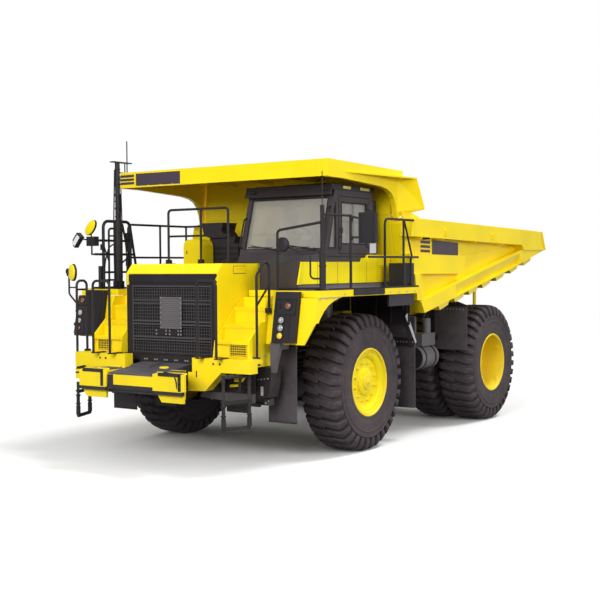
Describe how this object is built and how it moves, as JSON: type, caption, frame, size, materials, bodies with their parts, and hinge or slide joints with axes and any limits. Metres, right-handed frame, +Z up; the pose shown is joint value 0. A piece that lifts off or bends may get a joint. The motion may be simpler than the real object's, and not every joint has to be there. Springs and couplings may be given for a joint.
{
  "type": "rigid mining dump truck",
  "caption": "Two-axle rigid haul truck with steered front wheels, twin rear wheels, walk-around deck, left-side cab and a tipping body with a cab-guard canopy.",
  "frame": {"origin": "on the ground, below the middle of the whole truck's length and width", "axes": "-Y is the truck's front, +X its left side, +Z up"},
  "size_m": [5.4, 9.996, 5.0598],
  "materials": {
    "yellow_paint": "gloss",
    "black_paint": "satin",
    "grey_paint": "satin",
    "yellow_rim": "satin",
    "tyre": "matt",
    "cast_steel": "rough",
    "chrome_rod": "polished",
    "glass": "clear",
    "seat_fabric": "woven",
    "rubber": "matt",
    "mesh_steel": "satin",
    "lamp_plastic": "satin"
  },
  "bodies": {
    "chassis": {"frame_rails": "black_paint", "frame_cross_members": "black_paint", "front_bumper": "yellow_paint", "bumper_deck": "grey_paint", "radiator_grille": "mesh_steel", "engine_hood": "yellow_paint", "engine_block": "cast_steel", "front_suspension": "cast_steel", "rear_axle": "cast_steel", "deck_platform": "yellow_paint", "access_stairs": "yellow_paint", "hanging_ladders": "black_paint", "front_fenders": "yellow_paint", "headlight_pods": "lamp_plastic", "mud_flaps": "rubber", "flap_brackets": "black_paint", "side_tanks": "grey_paint", "cab_shell": "grey_paint", "cab_roof": "black_paint", "cab_glass": "glass", "cab_base": "yellow_paint", "cab_cowl": "grey_paint", "operator_seat": "seat_fabric", "dash_and_steering_wheel": "lamp_plastic", "handrails": "black_paint", "mirrors": "black_paint", "mast_tower": "black_paint", "air_cleaners": "black_paint", "deck_boxes": "yellow_paint"},
    "cab_door_body": {"cab_door": "grey_paint"},
    "tie_rod_body": {"tie_rod": "cast_steel"},
    "steer_knuckle_left": {"knuckle_left": "cast_steel"},
    "steer_knuckle_right": {"knuckle_right": "cast_steel"},
    "front_wheel_left": {"front_rim_left": "yellow_rim", "front_tyre_left": "tyre"},
    "front_wheel_right": {"front_rim_right": "yellow_rim", "front_tyre_right": "tyre"},
    "rear_wheels_left": {"rear_rim_left": "yellow_rim", "rear_tyres_left": "tyre"},
    "rear_wheels_right": {"rear_rim_right": "yellow_rim", "rear_tyres_right": "tyre"},
    "dump_body": {"body_floor": "yellow_paint", "body_frame": "yellow_paint", "body_ribs": "yellow_paint", "body_sides": "yellow_paint", "body_front_wall": "yellow_paint", "body_canopy": "yellow_paint"},
    "hoist_left_barrel_body": {"hoist_barrel_left": "black_paint"},
    "hoist_right_barrel_body": {"hoist_barrel_right": "black_paint"},
    "hoist_left_rod_body": {"hoist_rod_left": "chrome_rod"},
    "hoist_right_rod_body": {"hoist_rod_right": "chrome_rod"}
  },
  "joints": [
    {"name": "steer_left", "type": "hinge", "parent": "chassis", "child": "steer_knuckle_left", "pos_m": [1.25, -1.718, 1.08], "axis": [0, 0, 1], "range_deg": [-39, 39]},
    {"name": "steer_right", "type": "hinge", "parent": "chassis", "child": "steer_knuckle_right", "pos_m": [-1.25, -1.718, 1.08], "axis": [0, 0, 1], "range_deg": [-39, 39]},
    {"name": "tie_rod_slide", "type": "slide", "parent": "chassis", "child": "tie_rod_body", "axis": [1, 0, 0], "range_m": [-0.1895, 0.1895]},
    {"name": "front_wheel_left_spin", "type": "hinge", "parent": "steer_knuckle_left", "child": "front_wheel_left", "pos_m": [1.75, -1.718, 1.08], "axis": [1, 0, 0], "continuous": true},
    {"name": "rear_wheels_left_spin", "type": "hinge", "parent": "chassis", "child": "rear_wheels_left", "pos_m": [1.5, 2.582, 1.08], "axis": [1, 0, 0], "continuous": true},
    {"name": "front_wheel_right_spin", "type": "hinge", "parent": "steer_knuckle_right", "child": "front_wheel_right", "pos_m": [-1.75, -1.718, 1.08], "axis": [1, 0, 0], "continuous": true},
    {"name": "rear_wheels_right_spin", "type": "hinge", "parent": "chassis", "child": "rear_wheels_right", "pos_m": [-1.5, 2.582, 1.08], "axis": [1, 0, 0], "continuous": true},
    {"name": "bed_hinge", "type": "hinge", "parent": "chassis", "child": "dump_body", "pos_m": [0, 3.832, 1.9], "axis": [-1, 0, 0], "range_deg": [0, 48]},
    {"name": "hoist_left_pivot", "type": "hinge", "parent": "chassis", "child": "hoist_left_barrel_body", "pos_m": [0.25, 0.682, 1], "axis": [1, 0, 0], "range_deg": [0, 4.75]},
    {"name": "hoist_left_slide", "type": "slide", "parent": "hoist_left_barrel_body", "child": "hoist_left_rod_body", "axis": [0, 0.7557, 0.6549], "range_m": [0, 1.3668]},
    {"name": "hoist_right_pivot", "type": "hinge", "parent": "chassis", "child": "hoist_right_barrel_body", "pos_m": [-0.25, 0.682, 1], "axis": [1, 0, 0], "range_deg": [0, 4.75]},
    {"name": "hoist_right_slide", "type": "slide", "parent": "hoist_right_barrel_body", "child": "hoist_right_rod_body", "axis": [0, 0.7557, 0.6549], "range_m": [0, 1.3668]},
    {"name": "cab_door_hinge", "type": "hinge", "parent": "chassis", "child": "cab_door_body", "pos_m": [1.85, -1.323, 3.5], "axis": [0, 0, 1], "range_deg": [0, 45]}
  ],
  "couplings": [
    {"joint": "steer_right", "follows": "steer_left", "ratio": 1},
    {"joint": "tie_rod_slide", "follows": "steer_left", "m_per_rad": -0.27736},
    {"joint": "hoist_left_pivot", "follows": "bed_hinge", "ratio": 0.097879},
    {"joint": "hoist_left_slide", "follows": "bed_hinge", "m_per_rad": 1.6292},
    {"joint": "hoist_right_pivot", "follows": "bed_hinge", "ratio": 0.097879},
    {"joint": "hoist_right_slide", "follows": "bed_hinge", "m_per_rad": 1.6292}
  ]
}
